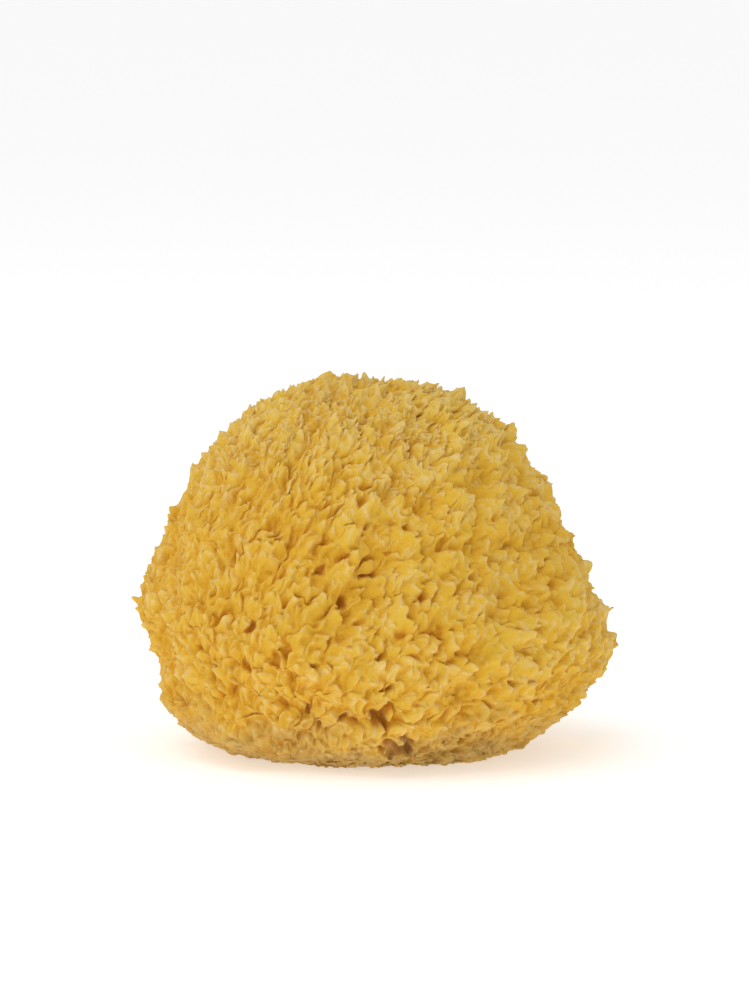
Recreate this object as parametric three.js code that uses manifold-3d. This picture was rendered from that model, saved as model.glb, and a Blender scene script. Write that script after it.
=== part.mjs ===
// A natural sea wool sponge: a dome of soft tufts that grew as one piece, cut off flat where it held
// to the sea bed. Millimetres, +Z up. The origin lies on the flat cut, under the middle of the sponge.
// +X is its width and -Y its front.

import * as THREE from "three";
import { mergeVertices } from "three/addons/utils/BufferGeometryUtils.js";
import Module from "manifold-3d";

const wasm = await Module();
wasm.setup();

// The outlines that the tips of the tufts reach, each from the underside's middle to the crown, as
// [reach from the middle, height above the cut].
const RIGHT_OUTLINE = [
  [0, -15], [20, -13], [32, -7], [41, 0], [50.5, 4.5], [58.5, 11],
  [64.5, 18], [69, 27], [69.5, 35], [68.5, 43], [63.5, 53], [58, 63],
  [51.5, 73], [46, 82], [41.5, 90], [37, 96.5], [18, 106], [0, 110],
];
const BACK_OUTLINE = [
  [0, -15], [20, -13], [31, -7], [40, 0], [48.5, 4.5], [54.5, 11],
  [59, 18], [62.5, 27], [63.5, 37], [62, 46], [59, 56], [55, 66],
  [50.5, 75], [45, 84], [38, 93], [30, 101], [17, 107], [0, 110],
];
const LEFT_OUTLINE = [
  [0, -15], [24, -13], [38, -7], [47.5, 0], [55, 4.5], [60, 11],
  [62.5, 18], [65.5, 27], [69, 36], [70.5, 43], [69, 51], [65.5, 60],
  [61.5, 70], [55.5, 79], [49.5, 88], [43, 96], [28.5, 104.5], [0, 110],
];
const FRONT_OUTLINE = [
  [0, -15], [19, -13], [30, -7], [38.5, 0], [47.5, 4.5], [54.5, 11],
  [59, 18], [62.5, 27], [63.5, 37], [62, 46], [59, 56], [55, 66],
  [50, 75], [44.5, 84], [37.5, 93], [29, 101], [17, 107], [0, 110],
];

// How far the tufts stand out of the flesh, and how their size varies from tuft to tuft.
const TUFT_HEIGHT = 6.5;
const TUFT_SPREAD = 3.5;
// A tuft's second point stands this much as high as its first, so that the tuft is a blade.
const BLADE_SHARE = 0.85;
// How far the corners of the net stray sideways, as a share of the sphere's radius.
const STRAY = 0.017;
// How much of a tuft's direction comes from the flesh, from the holdfast and from straight up.
const OUTWARD = 0.75;
const FROM_HOLDFAST = 0.6;
const UPWARD = 0.25;
// The flesh swells and dips gently from place to place by this much.
const SWELL = 1.6;
const SWELL_LENGTH = 17;
// The number of rows into which each side of the first icosahedron is divided, less one.
const DETAIL = 20;

// The mouths of the canals that show on the outside: the way each lies from the middle of the
// sponge, its radius at the surface and its depth.
const MOUTHS = [
  { azimuth: -86, height: 12, radius: 4.2, depth: 11 },
  { azimuth: -78, height: 3.5, radius: 4.4, depth: 10 },
  { azimuth: -97, height: 12.5, radius: 2.2, depth: 8 },
  { azimuth: -108, height: 15, radius: 2.4, depth: 9 },
  { azimuth: -122, height: 10, radius: 2.2, depth: 8 },
  { azimuth: -58, height: 8, radius: 2.3, depth: 8 },
  { azimuth: 95, height: 20, radius: 3.2, depth: 10 },
  { azimuth: 60, height: 34, radius: 2.8, depth: 9 },
  { azimuth: 128, height: 12, radius: 2.6, depth: 9 },
  { azimuth: 170, height: 14, radius: 2.4, depth: 8 },
  { azimuth: 12, height: 12, radius: 2.4, depth: 8 },
];
// The canals that open in the flat cut: [x, y, radius].
const CUT_CANALS = [
  [16, 4, 4.4],
  [-17, 10, 5.2],
  [-9, -19, 3.6],
  [20, -14, 2.8],
  [4, 23, 3.4],
  [-28, -7, 3],
  [21, 15, 2.4],
  [-1, -27, 2.4],
];
const CUT_CANAL_DEPTH = 14;
// A canal narrows to this share of its mouth's radius.
const CANAL_TAPER = 0.45;
const CANAL_SIDES = 8;

const SPONGE_COLOUR = 0xcea142;
const SPONGE_ROUGHNESS = 0.85;

const outlines = [RIGHT_OUTLINE, BACK_OUTLINE, LEFT_OUTLINE, FRONT_OUTLINE].map(
  (points) => new THREE.SplineCurve(points.map(([reach, height]) => new THREE.Vector2(reach, height))),
);

// Numbers from 0 to 1 that are the same on every run.
function makeRandom(seed) {
  let state = seed;
  return () => {
    state = (state * 1664525 + 1013904223) % 4294967296;
    return state / 4294967296;
  };
}

// The point of the tips' surface at an azimuth, in radians, and a share of the way from the
// underside's middle to the crown. Each outline fades into the next one round the sponge.
function outerPoint(azimuth, share) {
  const quarter = ((azimuth / (Math.PI / 2)) % 4 + 4) % 4;
  const from = Math.floor(quarter) % 4;
  const blend = Math.sin(((quarter - Math.floor(quarter)) * Math.PI) / 2) ** 2;
  const flat = outlines[from].getPointAt(share).lerp(outlines[(from + 1) % 4].getPointAt(share), blend);
  return new THREE.Vector3(flat.x * Math.cos(azimuth), flat.x * Math.sin(azimuth), flat.y);
}

// A slow wave through space that lifts some stretches of the flesh and lowers others.
function swell(point) {
  const [x, y, z] = [point.x / SWELL_LENGTH, point.y / SWELL_LENGTH, point.z / SWELL_LENGTH];
  const waves = Math.sin(1.7 * x + z) + Math.sin(1.3 * y - 1.1 * z + 2) + Math.sin(1.9 * z + 0.8 * x - y);
  return (SWELL * waves) / 3;
}

// The faces round each corner of an indexed geometry, as sets of neighbouring corners.
function neighboursOf(geometry) {
  const neighbours = Array.from({ length: geometry.attributes.position.count }, () => new Set());
  const index = geometry.index.array;
  for (let i = 0; i < index.length; i += 3) {
    for (const [a, b] of [[0, 1], [1, 2], [2, 0]]) {
      neighbours[index[i + a]].add(index[i + b]);
      neighbours[index[i + b]].add(index[i + a]);
    }
  }
  return neighbours;
}

// Picks tuft tips in a shuffled order, with no two side by side.
function pickTips(neighbours, random) {
  const order = neighbours.map((_, i) => i);
  for (let i = order.length - 1; i > 0; i--) {
    const j = Math.floor(random() * (i + 1));
    [order[i], order[j]] = [order[j], order[i]];
  }
  const tips = new Set();
  for (const i of order) {
    if (![...neighbours[i]].some((n) => tips.has(n))) tips.add(i);
  }
  return tips;
}

// The whole tufted body before it is cut: a sphere's net of corners laid on the outlines, with tips
// drawn out into leaning blades and the corners between them left in the flesh.
function tuftedBody() {
  const random = makeRandom(7);
  const sphere = new THREE.IcosahedronGeometry(1, DETAIL);
  sphere.deleteAttribute("normal");
  sphere.deleteAttribute("uv");
  const net = mergeVertices(sphere, 1e-4);
  const position = net.attributes.position;
  const flesh = [];
  for (let i = 0; i < position.count; i++) {
    const stray = new THREE.Vector3(random() - 0.5, random() - 0.5, random() - 0.5).multiplyScalar(2 * STRAY);
    const way = new THREE.Vector3().fromBufferAttribute(position, i).add(stray).normalize();
    const share = 1 - Math.acos(THREE.MathUtils.clamp(way.z, -1, 1)) / Math.PI;
    flesh.push(outerPoint(Math.atan2(way.y, way.x), share));
  }
  flesh.forEach((point, i) => position.setXYZ(i, point.x, point.y, point.z));
  net.computeVertexNormals();
  const normals = flesh.map((_, i) => new THREE.Vector3().fromBufferAttribute(net.attributes.normal, i));
  flesh.forEach((point, i) => point.addScaledVector(normals[i], swell(point) - TUFT_HEIGHT - SWELL / 2));

  const neighbours = neighboursOf(net);
  const tips = pickTips(neighbours, random);
  const up = new THREE.Vector3(0, 0, 1);
  const placed = flesh.map((point) => point.clone());
  for (const tip of tips) {
    const growth = normals[tip]
      .clone()
      .multiplyScalar(OUTWARD)
      .addScaledVector(flesh[tip].clone().normalize(), FROM_HOLDFAST)
      .addScaledVector(up, UPWARD)
      .normalize();
    const height = TUFT_HEIGHT + TUFT_SPREAD * (random() - 0.5);
    placed[tip].addScaledVector(growth, height);
    // The blade runs round the sponge, with a lean to one side or the other.
    const across = new THREE.Vector3().crossVectors(up, normals[tip]).normalize();
    across.addScaledVector(up, 1.6 * (random() - 0.5));
    const beside = [...neighbours[tip]]
      .map((n) => [n, flesh[n].clone().sub(flesh[tip]).normalize().dot(across)])
      .sort((a, b) => b[1] - a[1])[0][0];
    placed[beside].copy(flesh[beside]).addScaledVector(growth, height * BLADE_SHARE * (0.6 + 0.4 * random()));
  }
  placed.forEach((point, i) => position.setXYZ(i, point.x, point.y, point.z));
  net.deleteAttribute("normal");
  return net;
}

// A solid for cutting and joining, from a closed geometry.
function solidFrom(geometry) {
  const bare = geometry.clone();
  bare.deleteAttribute("normal");
  bare.deleteAttribute("uv");
  const merged = mergeVertices(bare, 1e-4);
  return new wasm.Manifold(
    new wasm.Mesh({
      numProp: 3,
      vertProperties: new Float32Array(merged.attributes.position.array),
      triVerts: new Uint32Array(merged.index.array),
    }),
  );
}

// A solid's triangles as a three.js geometry.
function geometryFrom(solid) {
  const mesh = solid.getMesh();
  const geometry = new THREE.BufferGeometry();
  geometry.setAttribute("position", new THREE.BufferAttribute(new Float32Array(mesh.vertProperties), 3));
  geometry.setIndex(new THREE.BufferAttribute(new Uint32Array(mesh.triVerts), 1));
  return geometry;
}

// A canal as a tapered plug, from its mouth inwards along a direction. It starts outside the mouth,
// so that it clears the tufts there.
function canalPlug(mouth, inward, radius, depth, clearance) {
  const length = depth + clearance;
  const plug = new THREE.CylinderGeometry(radius, radius * CANAL_TAPER, length, CANAL_SIDES);
  const turn = new THREE.Quaternion().setFromUnitVectors(new THREE.Vector3(0, -1, 0), inward);
  const middle = mouth.clone().addScaledVector(inward, depth - length / 2);
  plug.applyQuaternion(turn).translate(middle.x, middle.y, middle.z);
  return solidFrom(plug);
}

// The share of the way up the outline at which it reaches a height on its rising side.
function shareAtHeight(azimuth, height) {
  let [low, high] = [0, 1];
  for (let step = 0; step < 24; step++) {
    const middle = (low + high) / 2;
    if (outerPoint(azimuth, middle).z < height) low = middle;
    else high = middle;
  }
  return low;
}

// The plug of a canal mouth on the sponge's side, square to the middle of the sponge.
function sideCanal({ azimuth, height, radius, depth }) {
  const angle = THREE.MathUtils.degToRad(azimuth);
  const point = outerPoint(angle, shareAtHeight(angle, height));
  const inward = new THREE.Vector3(-point.x, -point.y, 0).normalize();
  return canalPlug(point, inward, radius, depth + TUFT_HEIGHT, TUFT_HEIGHT);
}

// The plug of a canal in the flat cut, which runs straight up.
function cutCanal([x, y, radius]) {
  return canalPlug(new THREE.Vector3(x, y, 0), new THREE.Vector3(0, 0, 1), radius, CUT_CANAL_DEPTH, 1);
}

// Everything under the flat cut.
function belowCut() {
  const size = 400;
  return solidFrom(new THREE.BoxGeometry(size, size, size).translate(0, 0, -size / 2));
}

function spongeGeometry() {
  let body = solidFrom(tuftedBody()).subtract(belowCut());
  for (const plug of [...MOUTHS.map(sideCanal), ...CUT_CANALS.map(cutCanal)]) body = body.subtract(plug);
  // Slivers of tufts that the cut left loose are dropped.
  const largest = body.decompose().sort((a, b) => b.volume() - a.volume())[0];
  const geometry = geometryFrom(largest);
  geometry.computeBoundingBox();
  const middle = geometry.boundingBox.getCenter(new THREE.Vector3());
  return geometry.translate(-middle.x, -middle.y, 0);
}

const sponge = new THREE.Mesh(
  spongeGeometry(),
  new THREE.MeshStandardMaterial({
    color: SPONGE_COLOUR,
    roughness: SPONGE_ROUGHNESS,
    metalness: 0,
    flatShading: true,
  }),
);
sponge.name = "sponge";

const group = new THREE.Group();
group.name = "sea_sponge";
group.add(sponge);

export default group;
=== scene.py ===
# %% [markdown]
# # A natural sea wool sponge
# The real thing is the cleaned skeleton of an animal: a dome of springy golden fibre, cut off flat
# where it held to the sea bed. Its outside is a fleece of thousands of small soft petals, which grow
# away from the holdfast and lean over each other. A plain dome with a bumpy material would show none
# of that on its outline, and loose leaves stuck on a ball look like the scales of a pine cone. So
# the sponge is sculpted as one skin in six pieces, and its petals, pits and canals are real shape.

# %% Load the frame
import math
import bpy
import numpy as np
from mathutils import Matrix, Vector


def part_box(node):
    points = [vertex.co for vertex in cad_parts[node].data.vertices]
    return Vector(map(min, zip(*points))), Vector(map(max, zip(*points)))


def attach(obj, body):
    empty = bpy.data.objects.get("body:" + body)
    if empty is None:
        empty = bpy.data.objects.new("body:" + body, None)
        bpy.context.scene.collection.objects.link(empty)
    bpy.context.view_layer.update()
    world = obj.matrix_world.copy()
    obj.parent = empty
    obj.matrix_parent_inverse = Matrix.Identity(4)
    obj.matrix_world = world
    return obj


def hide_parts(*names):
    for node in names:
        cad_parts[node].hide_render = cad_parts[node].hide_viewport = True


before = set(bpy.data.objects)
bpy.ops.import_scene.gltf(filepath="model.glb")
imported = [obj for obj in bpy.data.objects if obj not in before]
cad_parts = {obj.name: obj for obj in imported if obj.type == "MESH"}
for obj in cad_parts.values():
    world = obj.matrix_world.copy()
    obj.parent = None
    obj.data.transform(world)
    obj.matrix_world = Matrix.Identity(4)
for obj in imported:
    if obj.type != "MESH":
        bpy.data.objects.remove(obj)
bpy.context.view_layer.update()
sponge_low, sponge_high = (np.array(corner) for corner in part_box("sponge"))
MM = 0.001
print("the sponge's box, mm:", np.round((sponge_high - sponge_low) / MM, 1))

# %% [markdown]
# ## The shape that the tips reach
# A sponge isn't a ball: seen from the front it is wider low down, steeper on the left and sloping
# on the right, and a little shallower than it is wide. Four outlines, one for each side, hold that
# shape, as distances from the middle and heights in millimetres. They are blended round the dome, so
# every point has an azimuth and a share of the way up. They go on below the floor, to the point
# where the holdfast was, because the flat cut is taken out of the grown shape.

# %% Four outlines
RIGHT_OUTLINE = [(0, -15), (20, -13), (32, -7), (41, 0), (50.5, 4.5), (58.5, 11),
                 (64.5, 18), (69, 27), (69.5, 35), (68.5, 43), (63.5, 53), (58, 63),
                 (52.5, 73), (46.5, 82), (42, 90), (37.5, 96.5), (18, 106), (0, 110)]
BACK_OUTLINE = [(0, -15), (20, -13), (31, -7), (40, 0), (48.5, 4.5), (54.5, 11),
                (59, 18), (62.5, 27), (63.5, 37), (62, 46), (59, 56), (55, 66),
                (50.5, 75), (45, 84), (38, 93), (30, 101), (17, 107), (0, 110)]
LEFT_OUTLINE = [(0, -15), (24, -13), (38, -7), (47.5, 0), (55, 4.5), (60, 11),
                (62.5, 18), (65.5, 27), (69, 36), (70.5, 43), (69, 51), (65.5, 60),
                (61.5, 70), (55.5, 79), (49.5, 88), (43, 96), (28.5, 104.5), (0, 110)]
FRONT_OUTLINE = [(0, -15), (19, -13), (30, -7), (38.5, 0), (47.5, 4.5), (54.5, 11),
                 (59, 18), (62.5, 27), (63.5, 37), (62, 46), (59, 56), (55, 66),
                 (50, 75), (44.5, 84), (37.5, 93), (29, 101), (17, 107), (0, 110)]


def smooth_outline(points, count=400):
    """Even steps along the smooth curve through an outline's points, in metres."""
    p = np.array(points, float) * MM
    p = np.vstack([2 * p[0] - p[1], p, 2 * p[-1] - p[-2]])
    t = np.linspace(0, 1, 40, endpoint=False)[:, None]
    runs = []
    for a, b, c, d in zip(p[:-3], p[1:-2], p[2:-1], p[3:]):
        runs.append(0.5 * (2 * b + (c - a) * t + (2 * a - 5 * b + 4 * c - d) * t ** 2
                           + (3 * b - a - 3 * c + d) * t ** 3))
    curve = np.vstack(runs + [p[-2:-1]])
    length = np.concatenate([[0], np.cumsum(np.linalg.norm(np.diff(curve, axis=0), axis=1))])
    even = np.linspace(0, length[-1], count)
    return np.stack([np.interp(even, length, curve[:, k]) for k in range(2)], axis=1)


outlines = np.stack([smooth_outline(points) for points in
                     (RIGHT_OUTLINE, BACK_OUTLINE, LEFT_OUTLINE, FRONT_OUTLINE)])
print("four outlines of", outlines.shape[1], "points")

# %% [markdown]
# ## Points and normals anywhere on the dome
# The outlines fade into each other with a squared sine, so there is no crease where they meet. The
# normal comes from two short steps on the surface, one round it and one up it.

# %% The dome's surface


def dome_point(azimuth, share):
    """Points of the tips' surface, in metres, at azimuths in radians and shares of the way up."""
    quarter = np.mod(azimuth / (math.pi / 2), 4)
    first = np.floor(quarter).astype(int) % 4
    blend = np.sin((quarter - np.floor(quarter)) * math.pi / 2) ** 2
    step = np.clip(share, 0, 1) * (outlines.shape[1] - 1)
    low = np.clip(np.floor(step).astype(int), 0, outlines.shape[1] - 2)
    part = (step - low)[:, None]

    def along(side):
        return outlines[side, low] * (1 - part) + outlines[side, low + 1] * part

    flat = along(first) * (1 - blend)[:, None] + along((first + 1) % 4) * blend[:, None]
    return np.stack([flat[:, 0] * np.cos(azimuth), flat[:, 0] * np.sin(azimuth), flat[:, 1]], axis=1)


def unit(v):
    return v / np.maximum(np.linalg.norm(v, axis=1, keepdims=True), 1e-12)


def dome_normal(azimuth, share):
    safe = np.clip(share, 0.004, 0.996)
    round_it = dome_point(azimuth + 0.01, safe) - dome_point(azimuth - 0.01, safe)
    up_it = dome_point(azimuth, safe + 0.004) - dome_point(azimuth, safe - 0.004)
    return unit(np.cross(round_it, up_it))


# %% [markdown]
# ## Slow random waves
# Growth is never even. One helper gives a smooth random push at every point of space, as a sum of
# sine waves in random directions. It is used big to make the body swell, and small to ruffle the
# petals, and being tied to space it bends neighbours alike. A second helper fades from 0 to 1.

# %% Waves


def waves(points, length, seed, count=7):
    """A smooth random vector at each point, about 1 long, that changes over a given length."""
    source = np.random.default_rng(seed)
    total = np.zeros_like(points)
    for _ in range(count):
        way = unit(source.normal(size=(1, 3)))[0]
        turn = 2 * math.pi / (length * source.uniform(0.7, 1.5))
        phase = source.uniform(0, 2 * math.pi, 3)
        total += np.sin((points @ way)[:, None] * turn + phase)
    return total * (1.2 / math.sqrt(count))


def smooth_step(low, high, value):
    """0 up to low, 1 from high on, and a smooth way between. The two may be the other way round."""
    t = np.clip((value - low) / (high - low), 0, 1)
    return t * t * (3 - 2 * t)


# %% [markdown]
# ## Where petals point, and how large they are
# On the real sponge the petals stream away from the holdfast, which lies low at the front left, and
# in the upper part they sweep to the right. Near the cut they turn up. Low and on the left they are
# small narrow tongues, and in the middle and on the right larger and round. Each of these is a plain
# rule over the place on the dome, so it can be changed without touching a single petal.

# %% Growth
HOLDFAST = np.array([-22, -36, 6]) * MM


def growth_way(point, normal):
    """The direction along the surface in which the petals point."""
    height = point[:, 2]
    way = unit(point - HOLDFAST)
    way[:, 2] += 0.15 + 0.9 * smooth_step(16 * MM, 2 * MM, height)
    way[:, 0] += 0.8 * smooth_step(20 * MM, 60 * MM, height)
    way += 0.3 * waves(point, 24 * MM, 11) + 0.15 * waves(point, 9 * MM, 12)
    way -= normal * np.sum(way * normal, axis=1, keepdims=True)
    return unit(way)


def petal_size(point):
    """How large a petal is at a place, as a share of the usual size."""
    x, _, z = (point / MM).T
    size = 1.0 - 0.3 * smooth_step(-5, -45, x) + 0.2 * smooth_step(5, 40, x)
    size += 0.2 * np.exp(-((x - 5) / 22) ** 2 - ((z - 55) / 25) ** 2)
    size *= 1 + np.clip(0.2 * waves(point, 24 * MM, 51)[:, 0], -0.28, 0.28)
    return size * (1 - 0.4 * smooth_step(26, 8, z))


def petal_breadth(point):
    """Left and low the petals are narrow tongues; in the middle and on the right they are round."""
    x, _, z = (point / MM).T
    return 0.8 + 0.4 * smooth_step(-35, 10, x) * smooth_step(5, 25, z)


# %% [markdown]
# ## Where petals stand
# Petals crowd together at an even distance, without a pattern. Points are thrown at the dome and
# one is kept only if no earlier one is too near, which is how a crowd spaces itself. A table of
# cells keeps that quick, since only the cells beside a point's own have to be searched.

# %% Scatter
LOWEST_ROOT = -4 * MM
TURN_SPREAD = 0.28
BESIDE = [(dx, dy, dz) for dx in (-1, 0, 1) for dy in (-1, 0, 1) for dz in (-1, 0, 1)]


def scatter(spacing, seed, thrown):
    """Roots on the dome, each with the frame of its petal: its way and side along the surface."""
    source = np.random.default_rng(seed)
    way = unit(source.normal(size=(thrown, 3)))
    azimuth = np.arctan2(way[:, 1], way[:, 0])
    share = 1 - np.arccos(way[:, 2]) / math.pi
    point, normal = dome_point(azimuth, share), dome_normal(azimuth, share)
    distance = (spacing * petal_size(point)).tolist()
    keys = np.floor(point / (1.6 * spacing)).astype(int).tolist()
    cells, keep = {}, []
    for i, (p, key, d) in enumerate(zip(point.tolist(), keys, distance)):
        if p[2] < LOWEST_ROOT:
            continue
        near = [q for dx, dy, dz in BESIDE
                for q in cells.get((key[0] + dx, key[1] + dy, key[2] + dz), ())]
        if all((p[0] - q[0]) ** 2 + (p[1] - q[1]) ** 2 + (p[2] - q[2]) ** 2 > d * d for q in near):
            cells.setdefault(tuple(key), []).append(p)
            keep.append(i)
    root, normal = point[keep], normal[keep]
    way = growth_way(root, normal)
    turn = source.normal(0, TURN_SPREAD, len(root))[:, None]
    side = np.cross(normal, way)
    way, side = way * np.cos(turn) + side * np.sin(turn), side * np.cos(turn) - way * np.sin(turn)
    print(len(root), "petals", round(spacing / MM, 1), "mm apart")
    return root, way, side


# %% [markdown]
# ## The net
# Six square nets cover the sponge, a crown, four sides and the cut face, like the faces of a cube
# blown up to a ball. A single net would crowd at a pole. Their points are evenly spaced, they meet
# at their rims, and each has its own square map. Each net starts as Blender's own grid.

# %% Nets
NET = 296
CUT_NET = 170
CROWN_SHARE = 0.80
SIDES = (("fleece_crown", None), ("fleece_front", -90), ("fleece_right", 0), ("fleece_back", 90),
         ("fleece_left", 180), ("sponge_cut", None))


def deselect():
    if bpy.context.object and bpy.context.object.mode != "OBJECT":
        bpy.ops.object.mode_set(mode="OBJECT")
    bpy.ops.object.select_all(action="DESELECT")


def cut_share(azimuth):
    """The share of the way up at which each outline passes the flat cut."""
    table = np.linspace(-math.pi, math.pi, 181)
    shares = np.linspace(0, 0.5, 300)
    found = [np.interp(0, dome_point(np.full(300, a), shares)[:, 2], shares) for a in table]
    return np.interp((azimuth + math.pi) % (2 * math.pi) - math.pi, table, found)


def net(name, turn):
    """A grid, and the azimuth and share of each point. The crown and the cut have no turn."""
    deselect()
    lines = CUT_NET if name == "sponge_cut" else NET
    bpy.ops.mesh.primitive_grid_add(x_subdivisions=lines, y_subdivisions=lines, size=2)
    grid = bpy.context.object
    grid.name = name
    co = np.empty(len(grid.data.vertices) * 3)
    grid.data.vertices.foreach_get("co", co)
    x, y = co.reshape(-1, 3)[:, 0], co.reshape(-1, 3)[:, 1]
    if turn is None:
        ring = np.maximum(np.abs(x), np.abs(y))
        azimuth = np.arctan2(np.tan(y * math.pi / 4), np.tan(x * math.pi / 4))
        if name == "sponge_cut":
            azimuth = -azimuth
            return grid, azimuth, ring * cut_share(azimuth)
        return grid, azimuth, 1 - ring * (1 - CROWN_SHARE)
    azimuth = math.radians(turn) + x * math.pi / 4
    low = cut_share(azimuth)
    return grid, azimuth, low + (CROWN_SHARE - low) * (y + 1) / 2


nets = [net(name, turn) for name, turn in SIDES]
azimuths = np.concatenate([a for _, a, _ in nets])
shares = np.concatenate([s for _, _, s in nets])
skin_point = dome_point(azimuths, shares)
skin_normal = dome_normal(azimuths, shares)
skin_height = skin_point[:, 2]
print(len(skin_point), "points in the nets")

# %% [markdown]
# ## Which points a petal can reach
# A petal changes only the few hundred points round its root. They are sorted once by the cell of
# space that they are in, and each petal then looks into the cells beside its own.

# %% Points near a root
ROW = 4096


def near_lists(root, reach):
    """For each root, the net points within reach, found with a coarse table of cells."""
    key = np.floor(skin_point / reach).astype(np.int64)
    code = (key[:, 0] * ROW + key[:, 1]) * ROW + key[:, 2]
    order = np.argsort(code, kind="stable")
    ordered = code[order]
    for r in root:
        k = np.floor(r / reach).astype(np.int64)
        found = []
        for dx in (-1, 0, 1):
            for dy in (-1, 0, 1):
                base = ((k[0] + dx) * ROW + k[1] + dy) * ROW + k[2]
                low, high = np.searchsorted(ordered, [base - 1, base + 2])
                found.append(order[low:high])
        yield np.concatenate(found)


# %% [markdown]
# ## The form of one petal
# A petal is low at its root and highest at its tip, with a sharp drop past it. Two numbers are its
# own map: u runs across it from -1 to 1, and v along it from 0 at the root to 1 at the tip. The
# tip's line droops at its corners and is ragged, the back is rounded, and fine folds run along it.
# The nearness to the tip is given too, since the thin tips of real petals are paler; the pale rim is
# partly that and partly a painted highlight.

# %% One petal


def petal_form(u, v, length, droop, phase, rag, rim, fall):
    """A petal's height as a share of its full height, and how pale its rim is, at each u and v."""
    ripple = rag * (np.sin(6 * u + phase[0]) + np.sin(13 * u + phase[1]))
    tip = 1 - droop * np.abs(u) ** 3 + ripple
    gap = (tip - v) * length
    sharp = smooth_step(0, fall * MM, gap)
    back = (1 - np.abs(u) ** 5) ** 0.7
    folds = 1 + 0.2 * np.sin(5 * u + phase[2]) * v + 0.08 * np.sin(12 * u + phase[3]) * v
    form = np.clip(v / np.maximum(tip, 0.3), 0, 1) ** 0.8 * back * folds * sharp
    # The pale rim: partly the thin tips' own paleness, partly a painted highlight.
    pale = smooth_step(0.1, 0.45, gap / MM) * smooth_step(0.4 + rim, 0.5 * rim, gap / MM)
    return form, pale * back ** 2


# %% [markdown]
# ## Raising petals
# Every petal lifts the points near its root, where no other petal has lifted them higher, as one
# petal covers another. Three sizes are raised: clumps a finger wide, the petals themselves, and
# fingers that split their ends. On the crown and at the foot the fingers stand out more, so that the
# outline is shaggy there.

# %% Petals


def raise_petals(spacing, seed, thrown, wide, long, high, rag, rim, fall):
    """Heights over the net, how near each point is to a tip, and a tone for each petal."""
    root, way, side = scatter(spacing, seed, thrown)
    source = np.random.default_rng(seed + 100)
    count = len(root)
    size = petal_size(root) * source.uniform(0.8, 1.25, count)
    crest = np.where(source.random(count) < 0.12, 1.4, 1.0)
    width = size * petal_breadth(root) * source.uniform(*wide, count) * MM * crest / 2
    length = size * source.uniform(*long, count) * MM
    tall = np.where(source.random(count) < 0.12, 1.35, 1)
    height = np.sqrt(size) * source.uniform(*high, count) * MM * tall
    droop = source.uniform(0.0, 0.22, count)
    taper = source.uniform(-0.2, 0.25, count)
    phase = source.uniform(0, 2 * math.pi, (count, 4))
    tone = source.uniform(0, 1, count)
    lift = np.zeros(len(skin_point))
    edge = np.zeros(len(skin_point))
    shade = np.full(len(skin_point), 0.5)
    reach = 1.05 * float(max(length.max(), width.max()))
    for i, near in enumerate(near_lists(root, reach)):
        away = skin_point[near] - root[i]
        v = away @ way[i] / length[i] + 0.25
        u = away @ side[i] / width[i]
        inside = (v > 0) & (v < 1.15) & (np.abs(u) < 1) & (np.abs(away).max(1) < reach)
        near, u, v = near[inside], u[inside], v[inside]
        if not len(near):
            continue
        u = u / (1 - taper[i] * v ** 2 * 0.85)
        inside = np.abs(u) < 1
        near, u, v = near[inside], u[inside], v[inside]
        form, pale = petal_form(u, v, length[i], droop[i], phase[i], rag, rim, fall)
        wins = height[i] * form > lift[near]
        won = near[wins]
        lift[won] = (height[i] * form)[wins]
        edge[won] = pale[wins]
        shade[won] = tone[i]
    return lift, edge, shade


# %% Three sizes
clump, _, clump_tone = raise_petals(
    spacing=5.5 * MM, seed=1, thrown=20000, wide=(3.6, 7), long=(6, 11), high=(1.4, 2.9),
    rag=0.03, rim=1.5, fall=2.5)
petal, petal_edge, petal_tone = raise_petals(
    spacing=2.1 * MM, seed=2, thrown=100000, wide=(1.4, 3.1), long=(3.0, 5.6), high=(1.1, 2.2),
    rag=0.05, rim=1.2, fall=0.6)
finger, finger_edge, finger_tone = raise_petals(
    spacing=1.45 * MM, seed=3, thrown=150000, wide=(0.8, 1.5), long=(1.7, 3.4), high=(0.5, 1.2),
    rag=0.05, rim=0.8, fall=0.45)
at_foot = smooth_step(14 * MM, 3 * MM, skin_height)
finger *= 1 + 1.5 * smooth_step(74 * MM, 96 * MM, skin_height)
finger *= 1 + 0.9 * at_foot
petal *= 1 + 0.35 * at_foot
for label, level in (("clumps", clump), ("petals", petal), ("fingers", finger)):
    print(label, "mm high on average and at most:", np.round([level.mean() / MM, level.max() / MM], 2))
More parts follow.
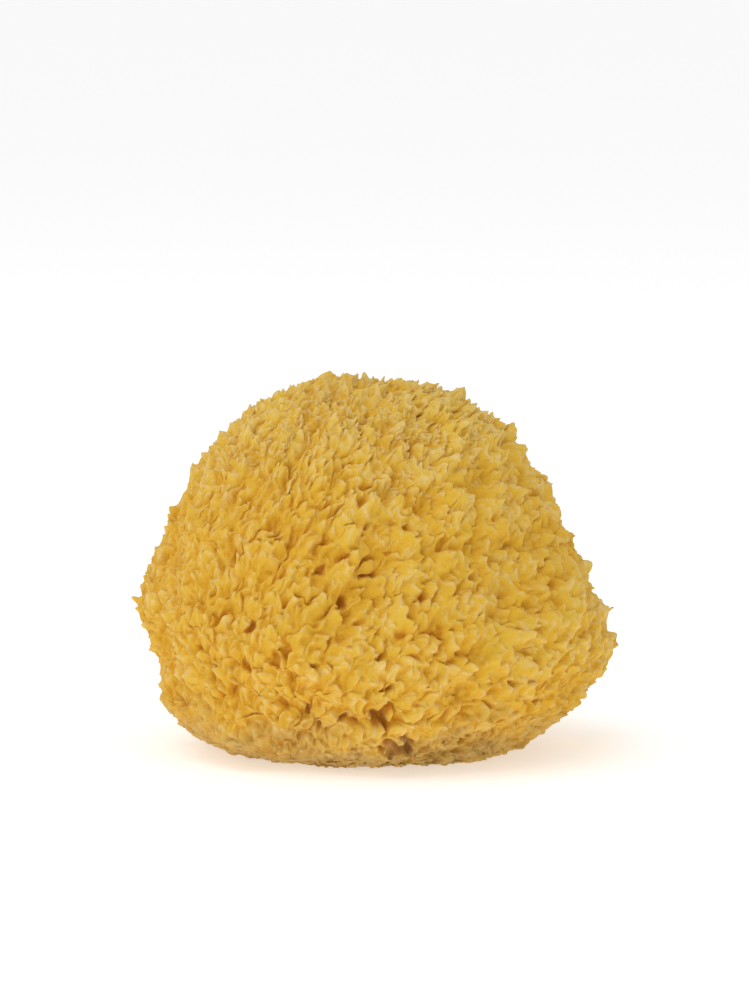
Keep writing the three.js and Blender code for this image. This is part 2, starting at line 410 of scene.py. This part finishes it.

# %% [markdown]
# ## Where the pits and canals are
# Here and there the petals part, and one looks down an orange pit, and low on the front two wide
# canals open. The pits that show are listed across and up as seen from the front. The other
# mouths are at the places that the solid has, and the rest is thrown over the sides and the back.

# %% Places of the pits
ELEVATION = math.radians(7)
PITS = 90
PIT_SPACING = 8 * MM
LOWEST_PIT = 8 * MM
SEEN_PITS = [  # mm across, mm up in the view, radius, depth
    (3, 10.5, 3.8, 11), (8.5, 1.5, 4.4, 12), (-5, 9.5, 1.5, 6), (-8.5, 10, 1.3, 6), (-20, 12, 1.6, 6),
    (-16, 7, 1.4, 5), (0, -4, 1.8, 5), (10.5, 3, 1.4, 5), (-48, 47, 1.8, 5), (-25, 45, 1.6, 5),
    (-8, 46, 2.0, 5), (-28, 29, 2.0, 5), (-24, 31, 1.8, 5), (-47, 19, 1.8, 5), (-42, 19, 1.8, 5),
    (-28, 14, 1.6, 5), (21, 37, 2.0, 5), (9, 36, 1.6, 5), (53, 49, 1.6, 4), (54, 44, 1.5, 4),
    (40, 19, 1.6, 4), (-26, 81, 1.8, 4), (-41, 59, 2.0, 5), (-9, 58, 1.8, 5), (-14, 77, 1.7, 4),
    (-13, 63, 1.8, 4), (-2, 78, 1.7, 4), (-29, 68, 1.5, 4), (12, 90, 1.6, 4), (14, 73, 1.8, 4),
    (20, 62, 1.6, 4), (9, 66, 1.6, 4), (-45, 41, 1.7, 6), (-37, 38, 1.7, 6), (-53, 31, 1.6, 6),
    (-50, 31, 1.6, 6), (-49, 23, 1.8, 6), (-3, 73, 1.2, 5), (-14.5, 55, 1.3, 6), (-2, 53, 1.1, 5),
    (14, 47, 1.5, 6), (6, 20, 1.5, 6), (-23, 23, 1.6, 6), (-38, 27, 1.5, 6)]
SIDE_MOUTHS = [  # azimuth in degrees, height, radius, depth
    (-58, 8, 2.3, 8), (95, 20, 3.2, 10), (60, 34, 2.8, 9), (128, 12, 2.6, 9), (170, 14, 2.4, 8),
    (12, 12, 2.4, 8)]


def seen_point(across, up):
    """The point of the dome that shows at a place in the front view."""
    view = skin_point[:, 2] * math.cos(ELEVATION) + skin_point[:, 1] * math.sin(ELEVATION)
    gap = (skin_point[:, 0] - across) ** 2 + (view - up) ** 2
    gap[skin_normal[:, 1] > 0.05] = 1
    return skin_point[np.argmin(gap)]


def side_point(azimuth, height):
    """The point of the dome at an azimuth and a height."""
    wide = np.hypot(skin_point[:, 0], skin_point[:, 1])
    x, y = skin_point[:, 0] - wide * math.cos(azimuth), skin_point[:, 1] - wide * math.sin(azimuth)
    return skin_point[np.argmin(x ** 2 + y ** 2 + (skin_point[:, 2] - height) ** 2)]


pits = [(seen_point(x * MM, up * MM), r * MM, d * MM) for x, up, r, d in SEEN_PITS]
pits += [(side_point(math.radians(a), h * MM), r * MM, d * MM) for a, h, r, d in SIDE_MOUTHS]
pit_source = np.random.default_rng(14)
while len(pits) < PITS:
    k = pit_source.integers(len(skin_point))
    spot = skin_point[k]
    free = all(np.linalg.norm(spot - p) > PIT_SPACING for p, _, _ in pits)
    if spot[2] > LOWEST_PIT and skin_normal[k, 1] > -0.2 and free:
        pits.append((spot, pit_source.uniform(1.4, 2.6) * MM, pit_source.uniform(4, 7) * MM))
print(len(pits), "pits")

# %% [markdown]
# ## How deep the pits are
# A round hole looks drilled. A real pit is a slit between petals, so each is drawn out along the
# growth and its rim is ragged. The wide canals stay rounder and go deeper.

# %% Depth of the pits
WIDE = 3 * MM
pit_depth = np.zeros(len(skin_point))
ragged = np.clip(1 + 0.45 * waves(skin_point, 3.5 * MM, 41)[:, 0], 0.45, 1.7)
skin_way = growth_way(skin_point, skin_normal)
for spot, radius, depth in pits:
    near = np.flatnonzero(np.abs(skin_point - spot).max(1) < 3 * radius)
    away = skin_point[near] - spot
    ahead = np.sum(away * skin_way[near], axis=1)
    slit, share = (0.6, 0.26) if radius < WIDE else (0.2, 0.45)
    apart = np.maximum(np.sum(away ** 2, axis=1) - slit * ahead ** 2, 0)
    gap = np.sqrt(apart) / (radius * ragged[near])
    pit_depth[near] = np.maximum(pit_depth[near], share * depth * smooth_step(1.2, 0.2, gap))
print("the deepest pit is", round(pit_depth.max() / MM, 1), "mm deep")

# %% [markdown]
# ## Softening across the rims
# The six nets have to stay joined, so anything that is evened out is evened out over all of them at
# once: points that lie on a common rim are counted as one. Only the points round the cut stay as
# they are, because the cut's net is coarser than its neighbours.

# %% Neighbours
spots = np.round(skin_point / (0.01 * MM)).astype(np.int64)
_, shared = np.unique(spots @ np.array([1, 1 << 20, 1 << 40]), return_inverse=True)
ends = []
start = 0
for grid, _, _ in nets:
    pairs = np.empty(len(grid.data.edges) * 2, np.int64)
    grid.data.edges.foreach_get("vertices", pairs)
    ends.append(shared[pairs.reshape(-1, 2) + start])
    start += len(grid.data.vertices)
one, two = np.unique(np.sort(np.concatenate(ends), axis=1), axis=0).T
copies = np.bincount(shared)
beside = np.bincount(one, minlength=len(copies)) + np.bincount(two, minlength=len(copies))
loose = np.ones(len(copies), bool)
loose[shared[np.abs(shares - cut_share(azimuths)) < 1e-6]] = False
print(len(copies), "points once the nets' common rims are counted once")


def soften(values, rounds):
    """Evens out one or more values a point towards its neighbours, also across the nets' rims."""
    columns = []
    for column in values.reshape(len(values), -1).T:
        level = np.bincount(shared, column) / copies
        for _ in range(rounds):
            around = np.bincount(one, level[two], len(level))
            around += np.bincount(two, level[one], len(level))
            level = np.where(loose, 0.5 * level + 0.5 * around / beside, level)
        columns.append(level[shared])
    return np.stack(columns, axis=1)


# %% [markdown]
# ## Sinking the body
# The skin is first sunk by the usual height of the petals, so that their tips end on the outlines,
# and slow waves swell it. No petal stands in a pit, nor on the cut. At the foot the push outwards
# turns level, so that the petals there don't grow into the floor.

# %% Sink
SWELL = 1.3 * MM
SMALL_SWELL = 0.8 * MM
TUFT_HEIGHT = 4.2 * MM
FRONT_SINK = 2.5 * MM
open_skin = 1 - 0.85 * smooth_step(0.0, 2.0 * MM, pit_depth)
under = smooth_step(-2 * MM, -13 * MM, skin_height)
on_side = smooth_step(-2.5 * MM, 0.5 * MM, skin_height)
clump, petal, finger = (level * open_skin * on_side for level in (clump, petal, finger))
height = clump + petal + finger
sunk = SWELL * waves(skin_point, 30 * MM, 3)[:, 0] + SMALL_SWELL * waves(skin_point, 13 * MM, 4)[:, 0]
sunk -= pit_depth
sunk -= TUFT_HEIGHT * np.sqrt(petal_size(skin_point))
at_front = smooth_step(10 * MM, -25 * MM, skin_point[:, 1])
sunk -= FRONT_SINK * smooth_step(8 * MM, 0, skin_height) * at_front
level_push = smooth_step(12 * MM, 2 * MM, skin_height)
push = skin_normal * np.array([1, 1, 0])
push = unit(skin_normal * (1 - level_push)[:, None] + push * level_push[:, None] + 1e-9)
print("the petals rise", round(height.max() / MM, 1), "mm at most over the sunk body")

# %% [markdown]
# ## Leaning the petals
# Each point moves out by its height, and along the growth by nearly as much, which makes the tips
# overhang the roots of the next petals. On the crown and at the foot the petals stand up more. Each
# also leans a little to one side by its own tone. Both shifts are softened, since neighbours that
# lean by very different amounts would tear a hole between them. Small waves ruffle the edges.

# %% Lean
LEAN = 0.85
lean = LEAN * (1 - 0.5 * smooth_step(80 * MM, 104 * MM, skin_height))
lean *= 1 - 0.6 * smooth_step(14 * MM, 2 * MM, skin_height)
lean *= 1 + 0.35 * waves(skin_point, 7 * MM, 31)[:, 0]
along = lean * (0.9 * clump + (0.7 + 0.6 * petal_tone) * petal + finger - 2.8 * MM * on_side)
across = 0.8 * (clump_tone - 0.5) * clump + 0.8 * (petal_tone - 0.5) * petal
across += 0.9 * (finger_tone - 0.5) * (finger + 0.3 * petal)
skin_side = np.cross(skin_normal, skin_way)
skin = skin_point + push * (sunk * (1 - under) + height)[:, None]
skin += skin_way * soften(along, 2) + skin_side * soften(across, 4)
ruffle = 0.4 * MM * waves(skin, 5 * MM, 21) + 0.12 * MM * waves(skin, 2 * MM, 22)
skin += ruffle * (1 - 0.8 * under[:, None])
print("leaned by", round(along.max() / MM, 1), "mm at most")

# %% [markdown]
# ## The flat cut
# Everything below the floor is brought up to the cut. It is dished by a hair, so that no two folds
# of the skin lie in one plane. The knife opened the canals that run up through the body, and many
# pores, and they are sunk into the cut from below.

# %% Cut
FLOOR_GAP = 0.15 * MM
DISH = 0.04
HOLES = 230
HOLE_WALL = 0.3 * MM
CANAL_DEPTH = 13 * MM
CUT_CANALS = [(16, 4, 4.4), (-17, 10, 5.2), (-9, -19, 3.6), (20, -14, 2.8), (4, 23, 3.4),
              (-28, -7, 3.0), (21, 15, 2.4), (-1, -27, 2.4)]
on_cut = skin[:, 2] <= FLOOR_GAP
skin[:, 2] = np.where(on_cut, FLOOR_GAP + DISH * (FLOOR_GAP - skin[:, 2]), skin[:, 2])
holes = [((x * MM, y * MM), r * MM, CANAL_DEPTH) for x, y, r in CUT_CANALS]
while len(holes) < HOLES:
    spot = pit_source.uniform(-42, 42, 2) * MM
    size = pit_source.uniform(0.45, 1.2) * MM
    free = all(math.dist(spot, hole) > size + r + HOLE_WALL for hole, r, _ in holes)
    if free and np.linalg.norm(spot) > 3 * MM:
        holes.append((tuple(spot), size, 3 * size))
sink = np.zeros(len(skin))
for spot, radius, depth in holes:
    gap = np.hypot(skin[:, 0] - spot[0], skin[:, 1] - spot[1]) / radius
    sink = np.maximum(sink, depth * smooth_step(1.1, 0.6, gap))
skin[:, 2] += sink * on_cut
skin = soften(skin, 3)
print("the skin spans", np.round(skin.min(0) / MM, 1), "to", np.round(skin.max(0) / MM, 1), "mm")

# %% [markdown]
# ## What the colour goes by
# The hollows and pits are painted orange-brown, as painted shade, the petals golden and their thin
# rims creamy, partly their own paleness and partly a painted highlight. The crown is painted paler, as
# painted light from above, and the foot browner and darker, partly its own colour and partly painted
# shade. Four
# measures hold that for the material: how high a point stands, how near a rim it is, the tone of its
# petal, and how low down it is.

# %% Measures
PETAL_RISE = 2.6 * MM
# Depths at which pits and the cut's holes are painted fully dark: painted shade.
PIT_SHADE_DEPTH = 3 * MM
HOLE_SHADE_DEPTH = 6 * MM
rise = (0.6 * (petal + finger) + 0.4 * clump) / (PETAL_RISE * petal_size(skin_point) ** 0.7)
# Pits are painted darker by their depth: painted shade.
rise -= pit_depth / PIT_SHADE_DEPTH
# The crown is painted paler, as painted light from above.
rise += 0.3 * smooth_step(65 * MM, 100 * MM, skin_height)
# The cut's holes are painted darker by their depth: painted shade.
rise = rise * on_side + (0.35 - sink * on_cut / HOLE_SHADE_DEPTH) * (1 - on_side)
# Rims are painted pale only where they stand high: partly the thin tips' own paleness, partly a
# painted highlight.
rim_and_highlight = np.maximum(0.6 * finger_edge, petal_edge) * open_skin * smooth_step(0.2, 0.75, rise)
rim_and_highlight = soften(rim_and_highlight, 1)[:, 0] * on_side
tones = soften(0.3 * finger_tone + 0.4 * petal_tone + 0.3 * clump_tone, 1)[:, 0]
# The foot is painted browner and darker: partly its own colour, partly painted shade.
foot_and_shade = smooth_step(20 * MM, 0, skin[:, 2] + 3 * MM * waves(skin, 12 * MM, 61)[:, 0])
measures = {"rise": rise, "edge": rim_and_highlight, "tone": tones, "low": foot_and_shade}
for label, values in measures.items():
    print(label, "from", round(float(values.min()), 2), "to", round(float(values.max()), 2))

# %% [markdown]
# ## Closing the pieces
# Each net takes its part of the skin. To make a closed body of it, its rim is extruded down to the
# roots of the petals, where the next piece hides it, then a step inwards, and filled. The rim is
# marked sharp, so the hidden wall doesn't bend the light on the outside. The grid's own square map,
# named OFBake, stays the map that a painted texture uses, with a margin for the hidden faces.

# %% Walls and maps
INWARDS = 0.92
MIDDLE = (0, 0, 0.045)
CUT_WALL = 16 * MM
MARGIN = 0.04


def close_up(piece, roots):
    """Extrudes the rim down to the petals' roots, inwards once more, and fills it."""
    mesh = piece.data
    net_points = len(mesh.vertices)
    deselect()
    bpy.context.view_layer.objects.active = piece
    piece.select_set(True)
    bpy.ops.object.mode_set(mode="EDIT")
    bpy.ops.mesh.select_mode(type="EDGE")
    bpy.ops.mesh.select_all(action="DESELECT")
    bpy.ops.mesh.select_non_manifold(extend=False)
    bpy.ops.mesh.mark_sharp()
    bpy.ops.mesh.extrude_region_move()
    bpy.ops.object.mode_set(mode="OBJECT")
    for edge in mesh.edges:
        outer, inner = sorted(edge.vertices)
        if outer < net_points <= inner:
            mesh.vertices[inner].co = roots[outer]
    bpy.ops.object.mode_set(mode="EDIT")
    bpy.ops.mesh.extrude_region_move()
    if piece.name == "sponge_cut":
        bpy.ops.transform.translate(value=(0, 0, CUT_WALL))
    bpy.ops.transform.resize(value=(INWARDS, INWARDS, INWARDS), center_override=MIDDLE)
    bpy.ops.mesh.edge_face_add()
    bpy.ops.object.mode_set(mode="OBJECT")
    return net_points


def lay_map(piece, net_points, net_faces):
    """Keeps a margin round the net's map for the wall and the filled face, which never show."""
    mesh = piece.data
    uv = np.empty(len(mesh.loops) * 2)
    mesh.uv_layers[0].data.foreach_get("uv", uv)
    uv = MARGIN + (1 - 2 * MARGIN) * uv.reshape(-1, 2)
    rim = (len(mesh.vertices) - net_points) // 2
    for face in list(mesh.polygons)[net_faces:]:
        loops = list(face.loop_indices)
        if len(loops) > 4:
            turn = np.linspace(0, 2 * math.pi, len(loops), endpoint=False)
            uv[loops] = 0.006 + 0.004 * np.stack([np.cos(turn), np.sin(turn)], axis=1)
            continue
        for loop in loops:
            point = mesh.loops[loop].vertex_index
            ring = (point >= net_points) + (point >= net_points + rim)
            uv[loop] = 0.5 + (uv[loop] - 0.5) * (1 + 0.02 * ring)
    mesh.uv_layers[0].data.foreach_set("uv", uv.ravel())


# %% [markdown]
# ## The six pieces
# Now each grid gets its points, its measures and its walls.

# %% Pieces
ROOT_DEPTH = 3 * MM
LOWEST_WALL = 0.6 * MM
root_line = skin_point + push * ((sunk - ROOT_DEPTH) * (1 - under))[:, None]
root_line -= skin_way * (lean * ROOT_DEPTH * on_side)[:, None]
root_line[:, 2] = np.maximum(root_line[:, 2], LOWEST_WALL)
fleece = []
start = 0
for grid, _, _ in nets:
    mesh = grid.data
    count = len(mesh.vertices)
    part = slice(start, start + count)
    start += count
    mesh.vertices.foreach_set("co", skin[part].ravel())
    for label, values in measures.items():
        mesh.attributes.new(label, "FLOAT", "POINT").data.foreach_set("value", values[part])
    mesh.uv_layers[0].name = "OFBake"
    mesh.update()
    mesh.shade_smooth()
    net_faces = len(mesh.polygons)
    net_points = close_up(grid, root_line[part])
    lay_map(grid, net_points, net_faces)
    fleece.append(grid)
    print(grid.name, sum(len(p.vertices) - 2 for p in mesh.polygons), "triangles")

# %% [markdown]
# ## Materials as nodes
# A finish in Blender is a small net of nodes. One helper starts a material with the usual shader,
# and one makes a ramp, which turns a number into a colour.

# %% Helpers for materials


def new_material(name):
    material = bpy.data.materials.new(name)
    material.use_nodes = True
    nodes = material.node_tree.nodes
    shader = nodes["Principled BSDF"]
    return material, nodes, material.node_tree.links, shader


def ramp(nodes, stops):
    node = nodes.new("ShaderNodeValToRGB")
    elements = node.color_ramp.elements
    while len(elements) < len(stops):
        elements.new(0.5)
    for element, (place, colour) in zip(elements, stops):
        element.position = place
        element.color = (*colour, 1)
    return node


# %% [markdown]
# ## The sponge's fibre
# Dry sponge fibre is matte, with a soft pale sheen where one looks along it. The colour follows the
# four measures, and noise breaks it up in patches and in fibres. Through the measures it holds painted
# shade in the hollows and pits, partly at the foot too, and a painted highlight on the crown and
# partly on the rims. The fibres are a bump as well, being finer than the nets. Scattering under the
# surface was
# left out: it turned the gold greenish.

# %% The fibre's material
# Painted shade: the ramp runs from dark orange-brown in the hollows and pits to gold at the tips.
HOLLOW_SHADE_TO_TIP = [(0.1, (0.64, 0.28, 0.016)), (0.28, (0.78, 0.44, 0.032)),
                 (0.46, (0.81, 0.50, 0.048)), (0.8, (0.83, 0.57, 0.10))]
# The rim colour: partly the thin tips' own paleness, partly a painted highlight.
RIM_AND_HIGHLIGHT_COLOUR = (0.86, 0.66, 0.30)
# The foot colour: partly its own browner colour, partly painted shade.
FOOT_AND_SHADE_COLOUR = (0.50, 0.35, 0.14)
SHEEN_COLOUR = (1.0, 0.86, 0.58)


def tuft_material():
    material, nodes, links, shader = new_material("sponge_tufts")
    values = {}
    for label in measures:
        values[label] = nodes.new("ShaderNodeAttribute")
        values[label].attribute_name = label
    place = nodes.new("ShaderNodeTexCoord")
    patch = nodes.new("ShaderNodeTexNoise")
    patch.inputs["Scale"].default_value = 60
    patch.inputs["Detail"].default_value = 3
    fibre = nodes.new("ShaderNodeTexNoise")
    fibre.inputs["Scale"].default_value = 900
    fibre.inputs["Detail"].default_value = 4
    links.new(place.outputs["Object"], patch.inputs["Vector"])
    links.new(place.outputs["Object"], fibre.inputs["Vector"])

    def sum_of(first, factor, second):
        """A node's output times a factor, plus a number or another node's output."""
        node = nodes.new("ShaderNodeMath")
        node.operation = "MULTIPLY_ADD"
        links.new(first, node.inputs[0])
        node.inputs[1].default_value = factor
        if isinstance(second, float):
            node.inputs[2].default_value = second
        else:
            links.new(second, node.inputs[2])
        return node.outputs[0]

    def mixed(amount, first, second):
        node = nodes.new("ShaderNodeMix")
        node.data_type = "RGBA"
        links.new(amount, node.inputs["Factor"])
        links.new(first, node.inputs["A"])
        node.inputs["B"].default_value = (*second, 1)
        return node.outputs["Result"]

    # Painted shade: a low rise, in hollows, pits and the cut's holes, takes the ramp's dark
    # orange-brown.
    total = sum_of(values["rise"].outputs["Fac"], 0.42, -0.13)
    total = sum_of(values["tone"].outputs["Fac"], 0.22, total)
    total = sum_of(patch.outputs["Fac"], 0.25, total)
    total = sum_of(fibre.outputs["Fac"], 0.18, total)
    colour = ramp(nodes, HOLLOW_SHADE_TO_TIP)
    links.new(total, colour.inputs["Fac"])
    # The rims are partly the thin tips' own paleness, partly a painted highlight.
    rim_and_highlight_share = sum_of(values["edge"].outputs["Fac"], 0.8, 0.0)
    paint = mixed(rim_and_highlight_share, colour.outputs["Color"], RIM_AND_HIGHLIGHT_COLOUR)
    # Towards the foot the colour turns browner and darker: partly its own colour, partly painted
    # shade.
    foot_and_shade_share = sum_of(values["low"].outputs["Fac"], 0.6, 0.0)
    paint = mixed(foot_and_shade_share, paint, FOOT_AND_SHADE_COLOUR)
    links.new(paint, shader.inputs["Base Color"])
    bump = nodes.new("ShaderNodeBump")
    bump.inputs["Strength"].default_value = 0.8
    bump.inputs["Distance"].default_value = 0.0006
    links.new(fibre.outputs["Fac"], bump.inputs["Height"])
    links.new(bump.outputs["Normal"], shader.inputs["Normal"])
    shader.inputs["Roughness"].default_value = 0.75
    shader.inputs["Specular IOR Level"].default_value = 0.1
    shader.inputs["Sheen Weight"].default_value = 0.35
    shader.inputs["Sheen Roughness"].default_value = 0.45
    shader.inputs["Sheen Tint"].default_value = (*SHEEN_COLOUR, 1)
    print(material.name, "has", len(nodes), "nodes")
    return material


tuft_look = tuft_material()

# %% [markdown]
# ## Putting the pieces on the solid
# All six ride on the one body, stand in place of the solid sponge, which is hidden, and each takes the
# fibre's material.

# %% Frame
for piece in fleece:
    piece.data.materials.append(tuft_look)
    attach(piece, "root")
    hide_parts("sponge")
print(len(fleece), "pieces replace the sponge")

# %% [markdown]
# ## Floor and light
# The sponge stands on a pale floor in a white surround. A large light from the upper left and one
# from above shade it softly, and a weak one keeps its right side open. The floor glows a little, so
# that it stays as white as the surround.

# %% Studio
deselect()
bpy.ops.mesh.primitive_plane_add(size=80)
floor = bpy.context.object
floor.name = "floor"
floor_look, _, _, floor_shader = new_material("floor")
floor_shader.inputs["Base Color"].default_value = (0.9, 0.9, 0.9, 1)
floor_shader.inputs["Emission Color"].default_value = (1, 1, 1, 1)
floor_shader.inputs["Emission Strength"].default_value = 0.42
floor_shader.inputs["Roughness"].default_value = 0.8
floor.data.materials.append(floor_look)


def soft_light(name, place, width, height, power, aim=(0, 0, 0.05)):
    light = bpy.data.lights.new(name, "AREA")
    light.shape = "RECTANGLE"
    light.size = width
    light.size_y = height
    light.energy = power
    lamp = bpy.data.objects.new(name, light)
    lamp.location = place
    lamp.rotation_euler = (Vector(aim) - Vector(place)).to_track_quat("-Z", "Y").to_euler()
    bpy.context.scene.collection.objects.link(lamp)


soft_light("key", (-1.3, -0.8, 1.1), 1.8, 1.8, 4.4)
soft_light("top", (-0.4, -0.5, 1.8), 1.6, 1.2, 8.0)
soft_light("fill", (0.9, -1.0, 0.5), 0.9, 0.7, 0.1)
world = bpy.context.scene.world or bpy.data.worlds.new("studio")
bpy.context.scene.world = world
world.use_nodes = True
world.node_tree.nodes["Background"].inputs["Color"].default_value = (1, 1, 1, 1)
world.node_tree.nodes["Background"].inputs["Strength"].default_value = 0.58
bpy.context.scene.view_settings.view_transform = "Standard"
print("three lights")

# %% [markdown]
# ## Camera
# The camera looks slightly down on the front from far off, so that nothing is stretched. Its lens
# follows from the size that one pixel has at the sponge.

# %% Camera
PIXEL = 0.29289 * MM
ROWS = 1000
SENSOR = 36
DISTANCE = 1.4
TARGET = Vector((0, 0, 0.0734))
camera_data = bpy.data.cameras.new("camera")
camera_data.sensor_width = SENSOR
camera_data.lens = DISTANCE * SENSOR / (ROWS * PIXEL)
camera = bpy.data.objects.new("camera", camera_data)
bpy.context.scene.collection.objects.link(camera)
look = Vector((0, math.cos(ELEVATION), -math.sin(ELEVATION)))
camera.location = TARGET - look * DISTANCE
camera.rotation_euler = look.to_track_quat("-Z", "Y").to_euler()
bpy.context.scene.camera = camera
print("the lens is", round(camera_data.lens), "mm")
